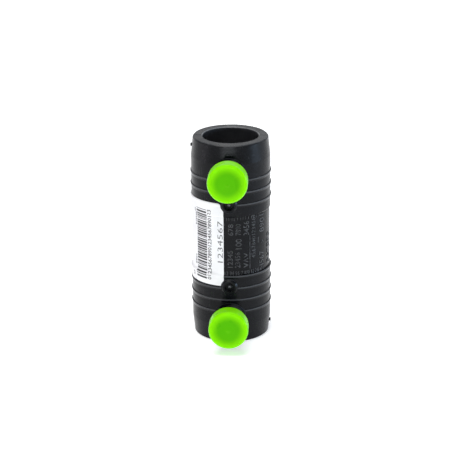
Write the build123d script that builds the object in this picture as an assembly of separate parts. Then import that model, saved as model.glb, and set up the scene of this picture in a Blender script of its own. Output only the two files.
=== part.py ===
from build123d import *
import os
from math import degrees

# Electrofusion coupler for 25 mm polyethylene pipe. Millimetres.
# It stands on its lower end: the bore runs up +Z from the origin, and both terminals face -Y.

# Barrel
length = 94.6  # end to end
barrel_radius = 18.1
end_radius = 17.15
taper_length = 8.6  # each end narrows over this length
edge_chamfer = 0.5
parting_groove_width = 0.3  # where the mould halves meet, across both end faces
parting_groove_depth = 0.2

# Sockets
bore_radius = 12.7
mouth_chamfer = 0.5
stop_radius = 11.5  # ring that both pipe ends meet
stop_width = 2.4

# Marking panel, a shallow band round the middle, and the grip ribs beyond it
panel_half_length = 14.3
panel_depth = 0.4
panel_slope = 0.6  # length of its sloping edges
rib_pitch = 5.7
ribs_each_side = 3
rib_height = 0.35
rib_lead = 0.2  # steep upper side
rib_land = 0.4
rib_tail = 1.1  # long lower side
rib_root = 0.3  # depth to which a rib is merged with the barrel

# Heating wire and the bed in the bore that holds its turns
wire_radius = 0.25
wire_flats = 6  # the coils are drawn with this many flats
lead_radius = 0.3  # tinned ends and the bridge between the zones
wire_below_bore = 0.06
bed_clearance = 0.1
bed_end_margin = 0.8
turns_each_zone = 5.5  # a whole number and a half, so that a zone starts at the front and ends at the back
turn_pitch = 3.2
bridge_groove_width = 0.9
lead_hole_radius = 0.4

# Terminals: a shroud moulded on the barrel, with a contact pin inside it
terminal_from_end = 12.6
shroud_radius = 6.8
shroud_draft = 0.15
shroud_reach = 31.8  # rim's distance from the bore axis
shroud_rim_chamfer = 0.3
shroud_root_radius = 7.4
shroud_root_height = 1.2
socket_radius = 4.75
socket_depth = 12.4
contact_radius = 2.0
contact_below_rim = 3.2
contact_tip_chamfer = 0.6
contact_foot_radius = 2.7
contact_foot_height = 0.9
contact_neck_radius = 1.7
contact_neck_height = 0.6

# Terminal caps
cap_wall = 2.0
cap_clearance = 0.2
cap_skirt = 4.6  # overlap with the shroud
cap_front = 2.2
cap_seat_gap = 0.1
cap_edge_round = 1.3
cap_mouth_chamfer = 0.3
cap_dish_radius = 6.6
cap_dish_depth = 0.3

# Fusion indicators: a small pin in a collared well over each heating zone
indicator_from_middle = 19.7
collar_radius = 3.75
collar_height = 1.0
collar_chamfer = 0.7
well_radius = 2.45
well_depth = 2.6
indicator_radius = 1.0
indicator_clearance = 0.08
indicator_below_rim = 0.9
indicator_foot_gap = 0.1
indicator_web = 0.9  # wall left between the guide hole and the wire's bed

# Gate marks left by the moulding, one near each end
gate_radius = 0.8
gate_height = 0.6
gate_from_end = 4.6
gate_root = 2.0

# Label, a printed film stuck over the panel
label_thickness = 0.15
label_gap = 0.05
label_bottom_from_middle = 19.2
label_top_from_middle = 20.4
label_start_angle = 8.4  # from -Y towards -X
label_angle = 112.0
label_top_corner_radius = 3.0
label_bottom_corner_radius = 0.8
label_collar_gap = 0.3

overshoot = 1.0  # cutting tools run this far past the surface they cut

middle = length / 2
panel_radius = barrel_radius - panel_depth
coil_radius = bore_radius + wire_below_bore + wire_radius
bed_radius = coil_radius + wire_radius + bed_clearance
zone_length = turns_each_zone * turn_pitch
socket_floor = shroud_reach - socket_depth
contact_root = socket_floor - 2 * contact_foot_height - contact_neck_height
cap_inner_radius = shroud_radius + cap_clearance
cap_radius = cap_inner_radius + cap_wall
cap_front_inside = shroud_reach + cap_seat_gap
collar_rim = barrel_radius + collar_height
well_floor = collar_rim - well_depth
guide_floor = bed_radius + indicator_web
boss_root = bed_radius + indicator_web  # bosses on the barrel start this deep in its wall


def turned(points):
    """Solid turned about Z from (radius, height) points."""
    outline = make_face(Plane.XZ * Polyline(*points, close=True))
    return revolve(outline, Axis.Z)


def forward(shape, height):
    """Turn a shape modelled along +Z so that it points along -Y from the bore axis at this height."""
    return Pos(0, 0, height) * Rot(90, 0, 0) * shape


def post(radius, start, end):
    """Round bar from one distance to another along Z."""
    return Pos(0, 0, start) * Cylinder(radius, end - start, align=(Align.CENTER, Align.CENTER, Align.MIN))


def mirrored_heights(from_middle):
    """The two heights that lie this far below and above the middle."""
    return (middle - from_middle, middle + from_middle)


terminal_heights = mirrored_heights(middle - terminal_from_end)
indicator_heights = mirrored_heights(indicator_from_middle)


def rib_heights():
    """Ribs outside the panel at an even pitch, and one on the panel's lower border."""
    steps = [panel_half_length + (i + 1) * rib_pitch for i in range(ribs_each_side)]
    heights = [middle + side * step for step in steps for side in (-1, 1)]
    heights.append(middle - panel_half_length)
    return heights


def barrel():
    """Outer form of the tube: tapered ends and the shallow marking panel."""
    panel_bottom = middle - panel_half_length
    panel_top = middle + panel_half_length
    skin = turned(
        [
            (0, 0),
            (end_radius, 0),
            (barrel_radius, taper_length),
            (barrel_radius, panel_bottom),
            (panel_radius, panel_bottom + panel_slope),
            (panel_radius, panel_top - panel_slope),
            (barrel_radius, panel_top),
            (barrel_radius, length - taper_length),
            (end_radius, length),
            (0, length),
        ]
    )
    ends = skin.faces().sort_by(Axis.Z)
    rims = ends[0].edges() + ends[-1].edges()
    return chamfer(rims, edge_chamfer)


def rib(height):
    """Barbed ring: steep above its crest and long below it."""
    crest = barrel_radius + rib_height
    root = barrel_radius - rib_root
    return turned(
        [
            (root, height + rib_lead),
            (barrel_radius, height + rib_lead),
            (crest, height),
            (crest, height - rib_land),
            (barrel_radius, height - rib_land - rib_tail),
            (root, height - rib_land - rib_tail),
        ]
    )


def shroud():
    """Terminal shroud with a flared root, along +Z from the bore axis."""
    root = barrel_radius
    tower = turned(
        [
            (0, boss_root),
            (shroud_root_radius, boss_root),
            (shroud_root_radius, root - shroud_root_height),
            (shroud_radius + shroud_draft, root + shroud_root_height),
            (shroud_radius, shroud_reach - cap_skirt),
            (shroud_radius, shroud_reach),
            (0, shroud_reach),
        ]
    )
    rim = tower.faces().sort_by(Axis.Z)[-1].edges()
    return chamfer(rim, shroud_rim_chamfer)


def indicator_collar():
    """Chamfered boss round an indicator's well, along +Z from the bore axis."""
    return turned(
        [
            (0, boss_root),
            (collar_radius, boss_root),
            (collar_radius, collar_rim - collar_chamfer),
            (collar_radius - collar_chamfer, collar_rim),
            (0, collar_rim),
        ]
    )


def gate_mark(direction, height):
    """Stub of the moulding gate on one side of the barrel."""
    local_radius = end_radius + (barrel_radius - end_radius) * gate_from_end / taper_length
    stub = post(gate_radius, local_radius - gate_root, local_radius + gate_height)
    return Pos(0, 0, height) * Rot(0, 90 * direction, 0) * stub


def sockets():
    """Everything turned out of the bore: two sockets, their chamfered mouths and the wire's beds."""
    stop_bottom = middle - stop_width / 2
    bed_start = terminal_from_end - bed_end_margin
    bed_end = terminal_from_end + zone_length + bed_end_margin
    lower = turned(
        [
            (0, 0),
            (bore_radius + mouth_chamfer, 0),
            (bore_radius, mouth_chamfer),
            (bore_radius, bed_start),
            (bed_radius, bed_start),
            (bed_radius, bed_end),
            (bore_radius, bed_end),
            (bore_radius, stop_bottom),
            (0, stop_bottom),
        ]
    )
    upper = mirror(lower, Plane.XY.offset(middle))
    return lower + upper + post(stop_radius, stop_bottom, stop_bottom + stop_width)


def parting_grooves():
    """Fine grooves across both end faces, left and right, where the mould halves meet."""
    groove = Box(2 * barrel_radius, parting_groove_width, 2 * parting_groove_depth)
    return groove + Pos(0, 0, length) * groove


def bridge_groove():
    """Straight groove at the back of the bore for the wire between the two zones."""
    span = length - 2 * (terminal_from_end + zone_length)
    depth = bed_radius - stop_radius + overshoot
    block = Box(bridge_groove_width, depth, span)
    return Pos(0, bed_radius - depth / 2, middle) * block


def contact_pin():
    """Brass contact, turned, along +Z from the bore axis, with a grooved foot locked in the moulding."""
    pin = turned(
        [
            (0, contact_root),
            (contact_foot_radius, contact_root),
            (contact_foot_radius, contact_root + contact_foot_height),
            (contact_neck_radius, contact_root + contact_foot_height),
            (contact_neck_radius, socket_floor - contact_foot_height),
            (contact_foot_radius, socket_floor - contact_foot_height),
            (contact_foot_radius, socket_floor),
            (contact_radius, socket_floor),
            (contact_radius, shroud_reach - contact_below_rim),
            (0, shroud_reach - contact_below_rim),
        ]
    )
    tip = pin.faces().sort_by(Axis.Z)[-1].edges()
    return chamfer(tip, contact_tip_chamfer)


def coupler_body(pins):
    """The moulding: barrel, ribs, shrouds and collars, with the contact pins moulded in."""
    body = barrel()
    for height in rib_heights():
        body += rib(height)
    for height in terminal_heights:
        body += forward(shroud(), height)
    for height in indicator_heights:
        body += forward(indicator_collar(), height)
    body += gate_mark(1, gate_from_end)
    body += gate_mark(-1, length - gate_from_end)

    body -= sockets()
    body -= bridge_groove()
    body -= parting_grooves()
    for height in terminal_heights:
        body -= forward(post(socket_radius, socket_floor, shroud_reach + overshoot), height)
        body -= forward(post(lead_hole_radius, bore_radius, contact_root + overshoot), height)
    for height in indicator_heights:
        body -= forward(post(well_radius, well_floor, collar_rim + overshoot), height)
        guide = post(indicator_radius + indicator_clearance, guide_floor, well_floor + overshoot)
        body -= forward(guide, height)
    for pin in pins:
        body -= pin
    return body


def half_turn(start, side):
    """Half a turn of the coil that climbs half the pitch: a half ring, tilted so that the next one joins it smoothly."""
    begin = Vector(0, -side * coil_radius, start)
    end = Vector(0, side * coil_radius, start + turn_pitch / 2)
    centre = (begin + end) / 2
    outward = begin - centre
    ring = Plane(centre, x_dir=outward, z_dir=outward.cross(Vector(side, 0, 0)))
    return ring * CenterArc((0, 0), outward.length, 0, 180)


def heating_zone(start, first_side, front_height):
    """Turns of one zone, rising from this height, with the lead to the contact pin at the front."""
    halves = round(2 * turns_each_zone)
    path = Wire([half_turn(start + i * turn_pitch / 2, first_side * (-1) ** i).edge() for i in range(halves)])
    section = Plane(path @ 0, z_dir=path % 0) * RegularPolygon(wire_radius, wire_flats)
    lead = post(lead_radius, coil_radius - wire_radius, contact_root)
    return sweep(section, path=path) + forward(lead, front_height)


def heating_wire():
    """One resistance wire: lead, lower zone, bridge up the back of the bore, upper zone, lead."""
    lower_start, upper_end = terminal_heights
    lower_end = lower_start + zone_length
    upper_start = upper_end - zone_length
    lower = heating_zone(lower_start, 1, lower_start)
    upper = heating_zone(upper_start, -1, upper_end)
    bridge = post(lead_radius, lower_end - wire_radius, upper_start + wire_radius)
    return lower + Pos(0, coil_radius, 0) * bridge + upper


def terminal_cap():
    """Soft cup pushed over a shroud, along +Z from the bore axis: rounded rim and a dished front."""
    mouth = cap_front_inside - cap_seat_gap - cap_skirt
    front = cap_front_inside + cap_front
    cup = post(cap_radius, mouth, front)
    cup = fillet(cup.faces().sort_by(Axis.Z)[-1].edges(), cap_edge_round)
    cup -= post(cap_inner_radius, mouth - overshoot, cap_front_inside)
    ball_radius = (cap_dish_radius**2 + cap_dish_depth**2) / (2 * cap_dish_depth)
    cup -= Pos(0, 0, front + ball_radius - cap_dish_depth) * Sphere(ball_radius)
    mouth_edges = cup.edges().group_by(Axis.Z)[0]
    return chamfer(mouth_edges, cap_mouth_chamfer)


def fusion_indicator():
    """Small pin with a domed tip that melt pressure pushes out of its well."""
    foot = guide_floor + indicator_foot_gap
    dome_centre = collar_rim - indicator_below_rim - indicator_radius
    return post(indicator_radius, foot, dome_centre) + Pos(0, 0, dome_centre) * Sphere(indicator_radius)


def label_corner(angle, height, radius, around, upward):
    """The waste outside one rounded corner of the label, cut along the radius where the rounding is centred.

    around is the way the label's edge lies from that centre (1 is anticlockwise), and upward likewise along Z.
    """
    turn = angle - around * degrees(radius / barrel_radius)
    size = radius + overshoot
    square = Box(barrel_radius, size, size)
    square = Pos(barrel_radius, around * size / 2, upward * size / 2) * square
    rounding = Rot(0, 90, 0) * Cylinder(radius, 3 * barrel_radius)
    return Rot(0, 0, turn) * Pos(0, 0, height - upward * radius) * (square - rounding)


def label():
    """Film that follows the panel, rides over the ribs it covers and laps up to the lower collar."""
    bottom = middle - label_bottom_from_middle
    top = middle + label_top_from_middle
    panel_bottom = middle - panel_half_length
    panel_top = middle + panel_half_length
    crest = barrel_radius + rib_height
    under = [
        (barrel_radius, bottom),
        (barrel_radius, panel_bottom - rib_land - rib_tail),
        (crest, panel_bottom - rib_land),
        (crest, panel_bottom),
        (panel_radius, panel_bottom + panel_slope + rib_lead),
        (panel_radius, panel_top - panel_slope),
        (barrel_radius, panel_top),
        (barrel_radius, panel_top + rib_pitch - rib_land - rib_tail),
        (crest, panel_top + rib_pitch - rib_land),
        (crest, panel_top + rib_pitch),
        (barrel_radius, top),
    ]
    inside = [(radius + label_gap, height) for radius, height in under]
    outside = [(radius + label_gap + label_thickness, height) for radius, height in reversed(under)]
    film = make_face(Plane.XZ * Polyline(*inside, *outside, close=True))
    start = -90 - label_start_angle
    sheet = Rot(0, 0, start - label_angle) * revolve(film, Axis.Z, label_angle)
    for angle, around in ((start, 1), (start - label_angle, -1)):
        sheet -= label_corner(angle, top, label_top_corner_radius, around, 1)
        sheet -= label_corner(angle, bottom, label_bottom_corner_radius, around, -1)
    for height in indicator_heights:
        sheet -= forward(post(collar_radius + label_collar_gap, bore_radius, collar_rim), height)
    return sheet


os.makedirs("parts", exist_ok=True)

terminal_names = ("lower", "upper")
contact_pins = [forward(contact_pin(), height) for height in terminal_heights]

nodes = {
    "coupler_body": coupler_body(contact_pins),
    "heating_wire": heating_wire(),
    "label": label(),
}
for name, height, pin in zip(terminal_names, terminal_heights, contact_pins):
    nodes["terminal_pin_" + name] = pin
    nodes["terminal_cap_" + name] = forward(terminal_cap(), height)
for name, height in zip(terminal_names, indicator_heights):
    nodes["fusion_indicator_" + name] = forward(fusion_indicator(), height)

for node, shape in nodes.items():
    export_step(shape, "parts/" + node + ".step")
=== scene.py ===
import math
import random

import bmesh
import bpy
from mathutils import Matrix, Vector
from mathutils.bvhtree import BVHTree


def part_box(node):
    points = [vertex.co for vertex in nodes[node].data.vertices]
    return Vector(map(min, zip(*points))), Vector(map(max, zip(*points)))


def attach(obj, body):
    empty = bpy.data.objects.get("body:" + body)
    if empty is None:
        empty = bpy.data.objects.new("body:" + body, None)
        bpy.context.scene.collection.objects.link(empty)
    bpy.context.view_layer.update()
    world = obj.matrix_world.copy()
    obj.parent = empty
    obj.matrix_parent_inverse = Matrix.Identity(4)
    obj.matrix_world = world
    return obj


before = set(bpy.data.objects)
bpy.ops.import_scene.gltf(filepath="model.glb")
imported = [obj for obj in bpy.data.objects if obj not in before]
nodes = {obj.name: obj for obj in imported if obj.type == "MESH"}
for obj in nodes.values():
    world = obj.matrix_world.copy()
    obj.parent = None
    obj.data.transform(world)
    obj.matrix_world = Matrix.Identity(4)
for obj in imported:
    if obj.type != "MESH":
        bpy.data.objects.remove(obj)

bpy.context.view_layer.update()
MM = 0.001

# ---- Camera ----------------------------------------------------------------------------------
# A long lens looks a little down on the coupler, from slightly to its right. It aims just above
# the middle of the bore and is rolled by a fraction of a degree.
coupler_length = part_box("coupler_body")[1].z
bore_middle = Vector((0, 0, coupler_length / 2))
camera_azimuth = math.radians(2.8)
camera_elevation = math.radians(19.8)
camera_distance = 813 * MM
camera_roll = math.radians(-0.4)
aim_right = -0.98 * MM
aim_up = 1.85 * MM

camera_data = bpy.data.cameras.new("catalogue_camera")
camera_data.sensor_width = 36
camera_data.lens = 138.4
camera_data.clip_start = 0.01
camera = bpy.data.objects.new("catalogue_camera", camera_data)
bpy.context.scene.collection.objects.link(camera)
bpy.context.scene.camera = camera
level = math.cos(camera_elevation)
camera_back = Vector((
    math.sin(camera_azimuth) * level,
    -math.cos(camera_azimuth) * level,
    math.sin(camera_elevation),
))
camera_right = Vector((math.cos(camera_azimuth), math.sin(camera_azimuth), 0))
camera_up = camera_back.cross(camera_right)
camera.location = bore_middle + camera_back * camera_distance + camera_right * aim_right + camera_up * aim_up
camera.rotation_euler = (
    camera_back.to_track_quat("Z", "Y").to_matrix() @ Matrix.Rotation(camera_roll, 3, "Z")
).to_euler()

# ---- Studio ----------------------------------------------------------------------------------
# The coupler stands on a plain table of white acrylic, faintly lit from below, under a large
# overhead softbox. Low strip lights on four sides give the black plastic its soft sheen.
scene = bpy.context.scene
scene.view_settings.view_transform = "Standard"


def new_material(name):
    """A node material with only its Principled shader, returned with its tree and shader."""
    material = bpy.data.materials.new(name)
    material.use_nodes = True
    tree = material.node_tree
    shader = tree.nodes["Principled BSDF"]
    return material, tree, shader


def add(tree, kind, **settings):
    """Adds a node to a tree and sets its properties, and its inputs where a name starts with in_."""
    node = tree.nodes.new(kind)
    for key, value in settings.items():
        if key.startswith("in_"):
            node.inputs[key[3:].replace("_", " ")].default_value = value
        else:
            setattr(node, key, value)
    return node


def arithmetic(tree, operation, first, second=0.0, third=0.0):
    """A Math node. Each operand is a number or another node's socket."""
    node = add(tree, "ShaderNodeMath", operation=operation)
    for socket, value in zip(node.inputs, (first, second, third)):
        if isinstance(value, bpy.types.NodeSocket):
            tree.links.new(value, socket)
        else:
            socket.default_value = value
    return node.outputs[0]


def between(tree, mask, low, high):
    """Turns a mask from 0 to 1 into a value from low to high."""
    return arithmetic(tree, "MULTIPLY_ADD", mask, high - low, low)


def mixed(tree, mask, first, second):
    """A colour that goes from the first to the second where the mask is 1."""
    node = add(tree, "ShaderNodeMix", data_type="RGBA")
    tree.links.new(mask, node.inputs["Factor"])
    for socket, value in ((node.inputs["A"], first), (node.inputs["B"], second)):
        if isinstance(value, bpy.types.NodeSocket):
            tree.links.new(value, socket)
        else:
            socket.default_value = (*value, 1)
    return node.outputs["Result"]


def feed(tree, shader, colour, roughness):
    """Feeds a colour and a roughness to the shader."""
    tree.links.new(colour, shader.inputs["Base Color"])
    tree.links.new(roughness, shader.inputs["Roughness"])


table_size = 6.0
table_glow = 0.45
table_material, tree, shader = new_material("pale_table")
coords = add(tree, "ShaderNodeTexCoord")
cloud = add(tree, "ShaderNodeTexNoise", in_Scale=3.0, in_Detail=4.0)
tree.links.new(coords.outputs["Object"], cloud.inputs["Vector"])
colour = mixed(tree, cloud.outputs["Fac"], (0.90, 0.90, 0.90), (0.93, 0.93, 0.93))
feed(tree, shader, colour, between(tree, cloud.outputs["Fac"], 0.7, 0.8))
shader.inputs["Emission Color"].default_value = (1.0, 1.0, 1.0, 1)
shader.inputs["Emission Strength"].default_value = table_glow
table_mesh = bpy.data.meshes.new("table")
bm = bmesh.new()
bmesh.ops.create_grid(bm, x_segments=1, y_segments=1, size=table_size / 2)
bm.to_mesh(table_mesh)
bm.free()
table_mesh.materials.append(table_material)
table = bpy.data.objects.new("table", table_mesh)
scene.collection.objects.link(table)

world = bpy.data.worlds.new("studio")
world.use_nodes = True
background = world.node_tree.nodes["Background"]
background.inputs["Color"].default_value = (0.95, 0.97, 1.0, 1)
background.inputs["Strength"].default_value = 0.28
scene.world = world


def softbox(name, place, size, watts, colour):
    """A rectangular area light of a width and a height, facing the coupler."""
    light = bpy.data.lights.new(name, "AREA")
    light.shape = "RECTANGLE"
    light.size, light.size_y = size
    light.energy = watts
    light.color = colour
    lamp = bpy.data.objects.new(name, light)
    lamp.location = place
    lamp.rotation_euler = (Vector(place) - bore_middle).to_track_quat("Z", "Y").to_euler()
    scene.collection.objects.link(lamp)


softbox("overhead_softbox", place=(-0.12, -0.15, 1.3), size=(0.9, 0.9), watts=15, colour=(1.0, 0.99, 0.98))
softbox("left_strip", place=(-0.85, -0.15, 0.14), size=(0.4, 0.12), watts=1.2, colour=(0.93, 0.86, 1.0))
softbox("right_strip", place=(0.85, -0.15, 0.14), size=(0.4, 0.12), watts=4.0, colour=(0.55, 0.75, 1.0))
softbox("front_strip", place=(-0.10, -1.30, 0.12), size=(0.9, 0.12), watts=6.0, colour=(0.90, 0.94, 1.0))
softbox("back_strip", place=(0.0, 0.95, 0.40), size=(1.4, 0.4), watts=1.3, colour=(0.95, 0.97, 1.0))

# ---- Coupler body ----------------------------------------------------------------------------
# One injection moulding in black polyethylene: barrel, ribs, terminal shrouds and collars.
# It has the satin skin of the mould, with faint flow marks, rubs from handling and a little dust.
# The bore, shaped by the winding core, is painted greyer than the outside: painted light.


def new_group(name, inputs, outputs):
    """A shader node group with value inputs {name: default} and the named outputs."""
    group = bpy.data.node_groups.new(name, "ShaderNodeTree")
    for label, default in inputs.items():
        socket = group.interface.new_socket(label, in_out="INPUT", socket_type="NodeSocketFloat")
        socket.default_value = default
    for label in outputs:
        group.interface.new_socket(label, in_out="OUTPUT", socket_type="NodeSocketFloat")
    start = add(group, "NodeGroupInput")
    end = add(group, "NodeGroupOutput")
    where = add(group, "ShaderNodeTexCoord")
    return group, start, end, where


def effect(tree, group, **values):
    """Places a group in a material with its own values, and returns its outputs."""
    node = add(tree, "ShaderNodeGroup", node_tree=group)
    for key, value in values.items():
        node.inputs[key.replace("_", " ")].default_value = value
    return node.outputs


def threshold(tree, value, low, high):
    """A smooth mask that goes from 0 at low to 1 at high."""
    node = add(tree, "ShaderNodeMapRange", interpolation_type="SMOOTHSTEP")
    node.inputs["From Min"].default_value = low
    node.inputs["From Max"].default_value = high
    tree.links.new(value, node.inputs["Value"])
    return node.outputs["Result"]


def inverse(tree, mask):
    """The mask with 0 and 1 swapped."""
    return arithmetic(tree, "SUBTRACT", 1.0, mask)


def relief(tree, shader, height, depth_mm):
    """Feeds a height from 0 to 1, worth this many millimetres, to the shader's normal."""
    bump = add(tree, "ShaderNodeBump")
    bump.inputs["Strength"].default_value = 1.0
    bump.inputs["Distance"].default_value = depth_mm * MM
    tree.links.new(height, bump.inputs["Height"])
    tree.links.new(bump.outputs["Normal"], shader.inputs["Normal"])


def sum_of(tree, *pairs):
    """Adds sockets, each multiplied by its own weight."""
    total = None
    for socket, weight in pairs:
        part = arithmetic(tree, "MULTIPLY", socket, weight)
        total = part if total is None else arithmetic(tree, "ADD", total, part)
    return total


# The skin that a mould or a die leaves: a fine grain and broad clouds, sized in millimetres.
moulded_skin, start, end, where = new_group(
    "moulded skin", {"Grain Size": 0.25, "Cloud Size": 6.0}, ("Grain", "Clouds")
)
grain = add(moulded_skin, "ShaderNodeTexNoise", in_Detail=3.0, in_Roughness=0.6)
clouds = add(moulded_skin, "ShaderNodeTexNoise", in_Detail=4.0, in_Roughness=0.55)
for texture, size in ((grain, "Grain Size"), (clouds, "Cloud Size")):
    moulded_skin.links.new(where.outputs["Object"], texture.inputs["Vector"])
    per_metre = arithmetic(moulded_skin, "DIVIDE", 1 / MM, start.outputs[size])
    moulded_skin.links.new(per_metre, texture.inputs["Scale"])
moulded_skin.links.new(grain.outputs["Fac"], end.inputs["Grain"])
moulded_skin.links.new(threshold(moulded_skin, clouds.outputs["Fac"], 0.3, 0.7), end.inputs["Clouds"])

# Rubs from handling: fine streaks in three directions, gathered in patches.
handling_rubs, start, end, where = new_group("handling rubs", {"Spread": 0.5}, ("Rubs",))
streaks = None
for tilt, stretch in ((0.3, (1.0, 1.0, 0.06)), (1.2, (0.07, 1.0, 1.0)), (2.3, (1.0, 0.06, 1.0))):
    turn = add(handling_rubs, "ShaderNodeMapping")
    turn.inputs["Rotation"].default_value = (tilt, tilt * 0.7, tilt * 1.3)
    turn.inputs["Scale"].default_value = stretch
    handling_rubs.links.new(where.outputs["Object"], turn.inputs["Vector"])
    streak = add(handling_rubs, "ShaderNodeTexNoise", in_Scale=2600.0, in_Detail=2.0)
    handling_rubs.links.new(turn.outputs["Vector"], streak.inputs["Vector"])
    layer = threshold(handling_rubs, streak.outputs["Fac"], 0.66, 0.74)
    streaks = layer if streaks is None else arithmetic(handling_rubs, "MAXIMUM", streaks, layer)
patch = add(handling_rubs, "ShaderNodeTexNoise", in_Scale=110.0, in_Detail=2.0)
handling_rubs.links.new(where.outputs["Object"], patch.inputs["Vector"])
patches = threshold(handling_rubs, patch.outputs["Fac"], 0.45, 0.62)
rubs = arithmetic(handling_rubs, "MULTIPLY", streaks, patches)
rubs = arithmetic(handling_rubs, "MULTIPLY", rubs, start.outputs["Spread"])
handling_rubs.links.new(rubs, end.inputs["Rubs"])

# Dust: a thin film on what faces up, and a few specks everywhere.
settled_dust, start, end, where = new_group("settled dust", {"Amount": 0.3}, ("Dust",))
speck = add(settled_dust, "ShaderNodeTexVoronoi", in_Scale=420.0, in_Randomness=1.0)
settled_dust.links.new(where.outputs["Object"], speck.inputs["Vector"])
specks = inverse(settled_dust, threshold(settled_dust, speck.outputs["Distance"], 0.02, 0.07))
veil = add(settled_dust, "ShaderNodeTexNoise", in_Scale=160.0, in_Detail=5.0)
settled_dust.links.new(where.outputs["Object"], veil.inputs["Vector"])
facing = add(settled_dust, "ShaderNodeNewGeometry")
split = add(settled_dust, "ShaderNodeSeparateXYZ")
settled_dust.links.new(facing.outputs["Normal"], split.inputs["Vector"])
upward = threshold(settled_dust, split.outputs["Z"], 0.2, 1.0)
film = arithmetic(settled_dust, "MULTIPLY", threshold(settled_dust, veil.outputs["Fac"], 0.45, 0.75), upward)
both = sum_of(settled_dust, (film, 1.0), (specks, 0.5))
dust = arithmetic(settled_dust, "MULTIPLY", both, start.outputs["Amount"])
settled_dust.links.new(dust, end.inputs["Dust"])

# Where the masks below fade, in millimetres from the bore's axis or, for end_fade, from an end.
bore_fade = (12.9, 13.4)
mouth_fade = (13.1, 13.3)
rim_fade = (16.55, 16.75)
crest_starts = (18.30, 18.40)
crest_ends = (18.48, 18.56)
end_fade = (0.45, 0.1)

body_material, tree, shader = new_material("black_polyethylene_satin")
skin = effect(tree, moulded_skin, Grain_Size=0.22, Cloud_Size=7.0)
rubs = effect(tree, handling_rubs, Spread=0.8)["Rubs"]
dust = effect(tree, settled_dust, Amount=0.25)["Dust"]
coords = add(tree, "ShaderNodeTexCoord")
flat = add(tree, "ShaderNodeMapping")
flat.inputs["Scale"].default_value = (1, 1, 0)
tree.links.new(coords.outputs["Object"], flat.inputs["Vector"])
across = add(tree, "ShaderNodeVectorMath", operation="LENGTH")
tree.links.new(flat.outputs["Vector"], across.inputs[0])
from_axis = arithmetic(tree, "DIVIDE", across.outputs["Value"], MM)
up = add(tree, "ShaderNodeSeparateXYZ")
tree.links.new(coords.outputs["Object"], up.inputs["Vector"])
from_middle = arithmetic(tree, "ABSOLUTE", arithmetic(tree, "SUBTRACT", up.outputs["Z"], coupler_length / 2))

colour = mixed(tree, skin["Clouds"], (0.0016, 0.0020, 0.0028), (0.0032, 0.0037, 0.0048))
colour = mixed(tree, rubs, colour, (0.022, 0.022, 0.024))
colour = mixed(tree, dust, colour, (0.12, 0.115, 0.11))
# Painted light: the bore wall is painted greyer than the outside, standing in for light bounced about inside
# the bore.
bore_light_mask = inverse(tree, threshold(tree, from_axis, *bore_fade))
bore_light_colour = mixed(tree, skin["Clouds"], (0.026, 0.027, 0.030), (0.038, 0.039, 0.042))
colour = mixed(tree, bore_light_mask, colour, bore_light_colour)

# Rib crests and the edges of both end faces are painted paler than the rest: a painted highlight, broken up
# by the grain.
end_starts, end_stops = (coupler_length / 2 - depth * MM for depth in end_fade)
at_ends = threshold(tree, from_middle, end_starts, end_stops)
outer_edge = threshold(tree, from_axis, *rim_fade)
inner_edge = inverse(tree, threshold(tree, from_axis, *mouth_fade))
end_edges = arithmetic(tree, "MULTIPLY", at_ends, arithmetic(tree, "MAXIMUM", outer_edge, inner_edge))
above_crest_foot = threshold(tree, from_axis, *crest_starts)
below_crest_top = inverse(tree, threshold(tree, from_axis, *crest_ends))
crests = arithmetic(tree, "MULTIPLY", above_crest_foot, below_crest_top)
painted_edge_highlights = arithmetic(tree, "MAXIMUM", end_edges, crests)
painted_edge_highlights = arithmetic(tree, "MULTIPLY", painted_edge_highlights, between(tree, skin["Grain"], 0.4, 1.3))
colour = mixed(tree, painted_edge_highlights, colour, (0.050, 0.052, 0.056))
# The small chamfer at each mouth of the bore is painted paler still: a painted highlight on the mouth's edge.
mouth_highlight = arithmetic(tree, "MULTIPLY", at_ends, inner_edge)
colour = mixed(tree, mouth_highlight, colour, (0.17, 0.175, 0.18))
satin = between(tree, skin["Clouds"], 0.20, 0.30)
feed(tree, shader, colour, sum_of(tree, (satin, 1.0), (rubs, 0.12), (dust, 0.3)))
relief(tree, shader, sum_of(tree, (skin["Grain"], 1.0), (skin["Clouds"], 0.6), (rubs, -0.5)), 0.022)
shader.inputs["IOR"].default_value = 1.5
shader.inputs["Specular IOR Level"].default_value = 0.13
nodes["coupler_body"].material_slots[0].material = body_material

# ---- Raised marks on the body ----------------------------------------------------------------
# Rows of figures and signs, and a few thin lines, cut into the mould so that they stand up from the
# panel right of the label. They are part of the same moulding, and here only plain figures and
# simple shapes.
panel_radius = 17.7
mark_height = 0.2
mark_sink = 0.08
mark_thick = mark_height + mark_sink
bend_step = 0.5
weld_distance = 1e-5
sliver_length = 0.001 * MM
outside_all = 30 * MM

surfaces = {}


def surface_radius(node, angle, height):
    """Metres from the bore axis to a node's outer surface, at an angle from -Y towards +X."""
    if node not in surfaces:
        mesh = nodes[node].data
        corners = [vertex.co for vertex in mesh.vertices]
        surfaces[node] = BVHTree.FromPolygons(corners, [face.vertices for face in mesh.polygons])
    outward = Vector((math.sin(angle), -math.cos(angle), 0))
    far = outward * outside_all + Vector((0, 0, height))
    hit = surfaces[node].ray_cast(far, -outward)[0]
    return None if hit is None else hit.xy.length


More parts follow.
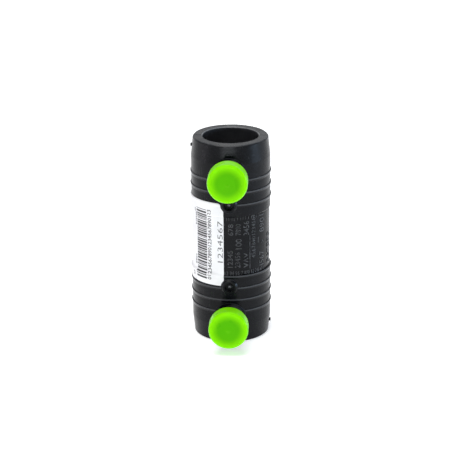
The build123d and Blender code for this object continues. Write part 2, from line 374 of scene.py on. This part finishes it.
def wrap(bm, node, angle, height, radius):
    """Bends a flat slab in millimetres round the bore axis.

    Its X runs round the axis, its Y up the coupler and its Z out of the node's surface.
    """
    reach = [vert.co.x for vert in bm.verts]
    steps = range(math.ceil(min(reach) / bend_step), math.floor(max(reach) / bend_step) + 1)
    for i in steps:
        everything = bm.verts[:] + bm.edges[:] + bm.faces[:]
        place = (i * bend_step, 0, 0)
        bmesh.ops.bisect_plane(bm, geom=everything, plane_co=place, plane_no=(1, 0, 0), dist=weld_distance)
    for vert in bm.verts:
        turn = math.radians(angle) + vert.co.x / radius
        up = (height + vert.co.y) * MM
        base = surface_radius(node, turn, up) or radius * MM
        out = base + vert.co.z * MM
        vert.co = (out * math.sin(turn), -out * math.cos(turn), up)
    return bm


def slid(bm, x=0.0, y=0.0, z=0.0):
    """Moves a slab."""
    bmesh.ops.translate(bm, verts=bm.verts, vec=(x, y, z))
    return bm


def turned(bm, angle):
    """Turns a slab in its own plane, about the origin."""
    bmesh.ops.rotate(bm, verts=bm.verts, cent=(0, 0, 0), matrix=Matrix.Rotation(angle, 3, "Z"))
    return bm


def slab(width, tall, thick):
    """A flat box centred on the origin, with its underside at height 0."""
    bm = bmesh.new()
    bmesh.ops.create_cube(bm, size=1.0, matrix=Matrix.Diagonal((width, tall, thick, 1)))
    return slid(bm, z=thick / 2)


def figures(text, long, tall, thick, quarter_turns=1, weight=0.0):
    """Plain figures as a flat slab, long in all and tall across. One quarter turn makes them read upwards."""
    curve = bpy.data.curves.new("figures", "FONT")
    curve.body = text
    curve.offset = weight
    curve.resolution_u = 2
    curve.extrude = 0.5
    holder = bpy.data.objects.new("figures", curve)
    mesh = bpy.data.meshes.new_from_object(holder)
    bm = bmesh.new()
    bm.from_mesh(mesh)
    bpy.data.objects.remove(holder)
    bpy.data.curves.remove(curve)
    bpy.data.meshes.remove(mesh)
    bmesh.ops.remove_doubles(bm, verts=bm.verts, dist=weld_distance)
    low = [min(vert.co[i] for vert in bm.verts) for i in range(3)]
    high = [max(vert.co[i] for vert in bm.verts) for i in range(3)]
    slid(bm, -(low[0] + high[0]) / 2, -(low[1] + high[1]) / 2, -low[2])
    scale = [size / (high[i] - low[i]) for i, size in enumerate((long, tall, thick))]
    bmesh.ops.scale(bm, verts=bm.verts, vec=scale)
    return turned(bm, quarter_turns * math.pi / 2)


def join(bmeshes, name, material, body):
    """One object at the origin from several bmeshes, riding on a CAD body."""
    mesh = bpy.data.meshes.new(name)
    whole = bmesh.new()
    for bm in bmeshes:
        part = bpy.data.meshes.new("part")
        bm.to_mesh(part)
        bm.free()
        whole.from_mesh(part)
        bpy.data.meshes.remove(part)
    bmesh.ops.triangulate(whole, faces=whole.faces)
    bmesh.ops.dissolve_degenerate(whole, dist=sliver_length, edges=whole.edges)
    bmesh.ops.triangulate(whole, faces=whole.faces)
    whole.to_mesh(mesh)
    whole.free()
    mesh.materials.append(material)
    piece = bpy.data.objects.new(name, mesh)
    scene.collection.objects.link(piece)
    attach(piece, body)
    return piece


def chevron(tall, pointing, stroke):
    """Two strokes that meet in a point, which points up or, where pointing is -1, down."""
    lean = 0.42 * pointing
    spread = 0.175 * tall
    return [slid(turned(slab(stroke, tall, mark_thick), side * lean), x=side * spread) for side in (-1, 1)]


marks = []


def mark(bm, angle, height):
    """Sets a slab on the body, its underside just below the surface."""
    marks.append(wrap(slid(bm, z=-mark_sink), "coupler_body", angle, height, panel_radius))


upright_rows = [
    # angle, lowest and highest point, letter height, figures
    (1.0, 37.0, 45.2, 2.3, "12345"),
    (2.0, 52.4, 57.9, 2.3, "678"),
    (12.0, 36.8, 44.2, 2.4, "23456"),
    (13.6, 45.8, 50.7, 2.8, "100"),
    (13.0, 52.5, 57.9, 2.4, "7890"),
    (25.4, 52.2, 58.8, 2.7, "3456"),
    (37.2, 40.6, 61.6, 2.0, "45678901234567"),
    (53.6, 34.7, 42.7, 3.2, "4567"),
    (54.0, 51.9, 60.4, 3.2, "8901"),
    (73.8, 35.2, 50.0, 3.0, "567890"),
]
level_rows = [
    # first and last angle, height of the row's middle, letter height, figures
    (-7.0, 20.0, 34.2, 1.8, "12 34 56 7"),
    (22.0, 60.0, 34.3, 1.8, "890 12 345 67 8"),
    (-4.0, 17.0, 60.2, 1.3, "11 11 1 1"),
    (20.0, 46.0, 60.5, 1.3, "11 1 11 11"),
]
thin_lines = [
    # angle, lowest and highest point
    (31.0, 35.6, 52.0),
    (46.0, 47.3, 50.1),
]
line_width = 0.3
chevron_angle = 24.6
chevron_first = 37.7
chevron_pitch = 2.4

for angle, low, high, tall, text in upright_rows:
    mark(figures(text, high - low, tall, mark_thick), angle, (low + high) / 2)
for first, last, height, tall, text in level_rows:
    long = math.radians(last - first) * panel_radius
    mark(figures(text, long, tall, mark_thick, 0), (first + last) / 2, height)
for i in range(3):
    for stroke in chevron(2.4, 1 if i % 2 else -1, 0.4):
        mark(turned(stroke, math.pi / 2), chevron_angle, chevron_first + chevron_pitch * i)
for angle, low, high in thin_lines:
    mark(slab(line_width, high - low, mark_thick), angle, (low + high) / 2)
for stroke in chevron(1.6, 1, 0.35):
    # Set off its own centre line, so that the bending cuts of the two strokes don't coincide.
    mark(slid(stroke, x=0.1), 54.9, 47.4)
mark(slab(2.2, 0.4, mark_thick), 0.7, 90.3)

# Handling scuffs the tops of the marks, and a painted highlight is added on them, so they are paler than the
# skin round them.
marks_material, tree, shader = new_material("scuffed_and_highlighted_raised_marks")
skin = effect(tree, moulded_skin, Grain_Size=0.16, Cloud_Size=1.2)
rubs = effect(tree, handling_rubs, Spread=1.0)["Rubs"]
colour = mixed(tree, skin["Clouds"], (0.010, 0.0105, 0.012), (0.060, 0.062, 0.066))
colour = mixed(tree, rubs, colour, (0.10, 0.10, 0.105))
feed(tree, shader, colour, between(tree, skin["Grain"], 0.3, 0.5))
relief(tree, shader, skin["Grain"], 0.01)
shader.inputs["Specular IOR Level"].default_value = 0.3
join(marks, "raised_figures", marks_material, "coupler")

# ---- Heating wire ----------------------------------------------------------------------------
# Resistance wire of a copper and nickel alloy, wound in two zones and pressed into the bore wall.
# Winding and heat leave it slightly brown in places.
wire_material, tree, shader = new_material("drawn_resistance_wire")
skin = effect(tree, moulded_skin, Grain_Size=0.12, Cloud_Size=3.0)
colour = mixed(tree, skin["Clouds"], (0.60, 0.47, 0.38), (0.42, 0.30, 0.22))
feed(tree, shader, colour, between(tree, skin["Clouds"], 0.30, 0.45))
shader.inputs["Metallic"].default_value = 1.0
relief(tree, shader, skin["Grain"], 0.004)
nodes["heating_wire"].material_slots[0].material = wire_material

# ---- Contact pins ----------------------------------------------------------------------------
# Turned brass, 4 mm across, moulded into the floor of each shroud. The tool leaves fine rings
# round the pin, and the bare metal is slightly dull.
pin_material, tree, shader = new_material("turned_brass")
skin = effect(tree, moulded_skin, Grain_Size=0.3, Cloud_Size=2.5)
colour = mixed(tree, skin["Clouds"], (0.78, 0.58, 0.27), (0.62, 0.45, 0.20))
feed(tree, shader, colour, between(tree, skin["Clouds"], 0.22, 0.36))
shader.inputs["Metallic"].default_value = 1.0
coords = add(tree, "ShaderNodeTexCoord")
rings = add(tree, "ShaderNodeTexWave", bands_direction="Y", in_Scale=1500.0, in_Distortion=0.4)
tree.links.new(coords.outputs["Object"], rings.inputs["Vector"])
relief(tree, shader, sum_of(tree, (rings.outputs["Fac"], 1.0), (skin["Grain"], 0.4)), 0.006)
for end_name in ("lower", "upper"):
    nodes["terminal_pin_" + end_name].material_slots[0].material = pin_material

# ---- Terminal caps ---------------------------------------------------------------------------
# Soft lime green plastic cups pushed over the shrouds. They are glossy and slightly translucent, and a
# brighter ring round each front is painted in as a painted glow, so their dished fronts look darker in the
# middle.
cap_radius = 9.0
cap_material, tree, shader = new_material("lime_cap_plastic")
skin = effect(tree, moulded_skin, Grain_Size=0.5, Cloud_Size=9.0)
rubs = effect(tree, handling_rubs, Spread=0.15)["Rubs"]
dust = effect(tree, settled_dust, Amount=0.03)["Dust"]
# Distance from a cap's own axis. The two caps lie alike above and below the coupler's middle, so
# one mask serves both: heights are folded about the middle first.
lower_centre = sum(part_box("terminal_cap_lower"), Vector()) / 2
upper_centre = sum(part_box("terminal_cap_upper"), Vector()) / 2
caps_middle = (lower_centre.z + upper_centre.z) / 2
half_pitch = (upper_centre.z - lower_centre.z) / 2
coords = add(tree, "ShaderNodeTexCoord")
split = add(tree, "ShaderNodeSeparateXYZ")
tree.links.new(coords.outputs["Object"], split.inputs["Vector"])
from_middle = arithmetic(tree, "ABSOLUTE", arithmetic(tree, "SUBTRACT", split.outputs["Z"], caps_middle))
flat = add(tree, "ShaderNodeCombineXYZ")
tree.links.new(split.outputs["X"], flat.inputs["X"])
tree.links.new(arithmetic(tree, "SUBTRACT", from_middle, half_pitch), flat.inputs["Z"])
across = add(tree, "ShaderNodeVectorMath", operation="LENGTH")
tree.links.new(flat.outputs["Vector"], across.inputs[0])
# Painted glow: the ring round each cap's front is painted brighter, standing in for light through the thin
# rim.
glow = threshold(tree, across.outputs["Value"], 0.46 * cap_radius * MM, 0.95 * cap_radius * MM)
core = mixed(tree, skin["Clouds"], (0.060, 0.375, 0.0), (0.066, 0.392, 0.0))
colour = mixed(tree, glow, core, (0.190, 0.650, 0.0))
colour = mixed(tree, rubs, colour, (0.14, 0.42, 0.01))
colour = mixed(tree, dust, colour, (0.3, 0.4, 0.2))
gloss = between(tree, skin["Clouds"], 0.26, 0.32)
feed(tree, shader, colour, sum_of(tree, (gloss, 1.0), (rubs, 0.2)))
relief(tree, shader, sum_of(tree, (skin["Grain"], 0.4), (skin["Clouds"], 1.0)), 0.006)
shader.inputs["IOR"].default_value = 1.5
shader.inputs["Specular IOR Level"].default_value = 0.3
shader.inputs["Specular Tint"].default_value = (0.6, 1.0, 0.1, 1)
shader.inputs["Subsurface Weight"].default_value = 0.3
shader.inputs["Subsurface Radius"].default_value = (0.6, 1.0, 0.1)
shader.inputs["Subsurface Scale"].default_value = 1.5 * MM
for end_name in ("lower", "upper"):
    nodes["terminal_cap_" + end_name].material_slots[0].material = cap_material

# ---- Fusion indicators -----------------------------------------------------------------------
# Small dark plastic pins in the collared wells. The melt pushes them out while the joint is
# welded. They are polished, and their domed tips catch the light.
indicator_material, tree, shader = new_material("dark_indicator_plastic")
skin = effect(tree, moulded_skin, Grain_Size=0.2, Cloud_Size=1.5)
colour = mixed(tree, skin["Clouds"], (0.045, 0.045, 0.05), (0.07, 0.07, 0.075))
feed(tree, shader, colour, between(tree, skin["Clouds"], 0.12, 0.2))
relief(tree, shader, skin["Grain"], 0.003)
for end_name in ("lower", "upper"):
    nodes["fusion_indicator_" + end_name].material_slots[0].material = indicator_material

# ---- Label -----------------------------------------------------------------------------------
# White film with an adhesive back, stuck by hand over the panel left of the terminals. The film
# is smooth, with a faint ripple and a few grey rubs.
label_material, tree, shader = new_material("white_label_film")
skin = effect(tree, moulded_skin, Grain_Size=0.15, Cloud_Size=8.0)
rubs = effect(tree, handling_rubs, Spread=0.3)["Rubs"]
colour = mixed(tree, skin["Clouds"], (0.70, 0.70, 0.71), (0.76, 0.76, 0.76))
colour = mixed(tree, rubs, colour, (0.62, 0.62, 0.62))
smooth = between(tree, skin["Clouds"], 0.3, 0.42)
feed(tree, shader, colour, sum_of(tree, (smooth, 1.0), (rubs, 0.2)))
relief(tree, shader, sum_of(tree, (skin["Grain"], 0.3), (skin["Clouds"], 1.0)), 0.02)
nodes["label"].material_slots[0].material = label_material

# ---- Label print -----------------------------------------------------------------------------
# Black thermal print on the label: stripes like those of a bar code and rows of plain figures.
# It stands for the real print, whose words and codes aren't repeated.
ink_material, tree, shader = new_material("black_label_ink")
skin = effect(tree, moulded_skin, Grain_Size=0.1, Cloud_Size=2.0)
colour = mixed(tree, skin["Clouds"], (0.02, 0.02, 0.02), (0.05, 0.05, 0.05))
feed(tree, shader, colour, between(tree, skin["Grain"], 0.4, 0.6))
relief(tree, shader, skin["Grain"], 0.003)
print_radius = 17.9
print_thick = 0.045
print_sink = 0.015
stripe_low, stripe_high = 30.4, 63.7
stripe_angle = -45.4
stripe_length = 6.4
narrow = 0.29
figure_rows = [
    # angle, lowest and highest point, letter height, weight of the strokes, figures
    (-30.4, 30.4, 64.0, 2.0, 0.01, "012345678901234567890123"),
    (-13.6, 39.3, 59.1, 2.4, -0.01, "1234567"),
    (-59.0, 54.8, 63.2, 1.0, 0.03, "01234567"),
    (-59.2, 35.8, 40.3, 1.0, 0.03, "8901"),
    (-64.2, 30.0, 32.2, 1.0, 0.03, "23"),
]
ink = []


def stamp(bm, angle, height):
    """Lays a thin slab of ink on the label, its underside just below the film's surface."""
    ink.append(wrap(slid(bm, z=-print_sink), "label", angle, height, print_radius))


# Each stripe and each gap is a whole number of narrow stripes wide.
bars = random.Random(11)
place = stripe_low
while place < stripe_high:
    width = narrow * bars.choice((1, 2, 2, 3, 3))
    gap = narrow * bars.choice((1, 1, 1, 2))
    stamp(slab(stripe_length, width, print_thick), stripe_angle, place + width / 2)
    place += width + gap
for angle, low, high, tall, weight, text in figure_rows:
    stamp(figures(text, high - low, tall, print_thick, weight=weight), angle, (low + high) / 2)
join(ink, "label_print", ink_material, "coupler")

bpy.context.view_layer.update()
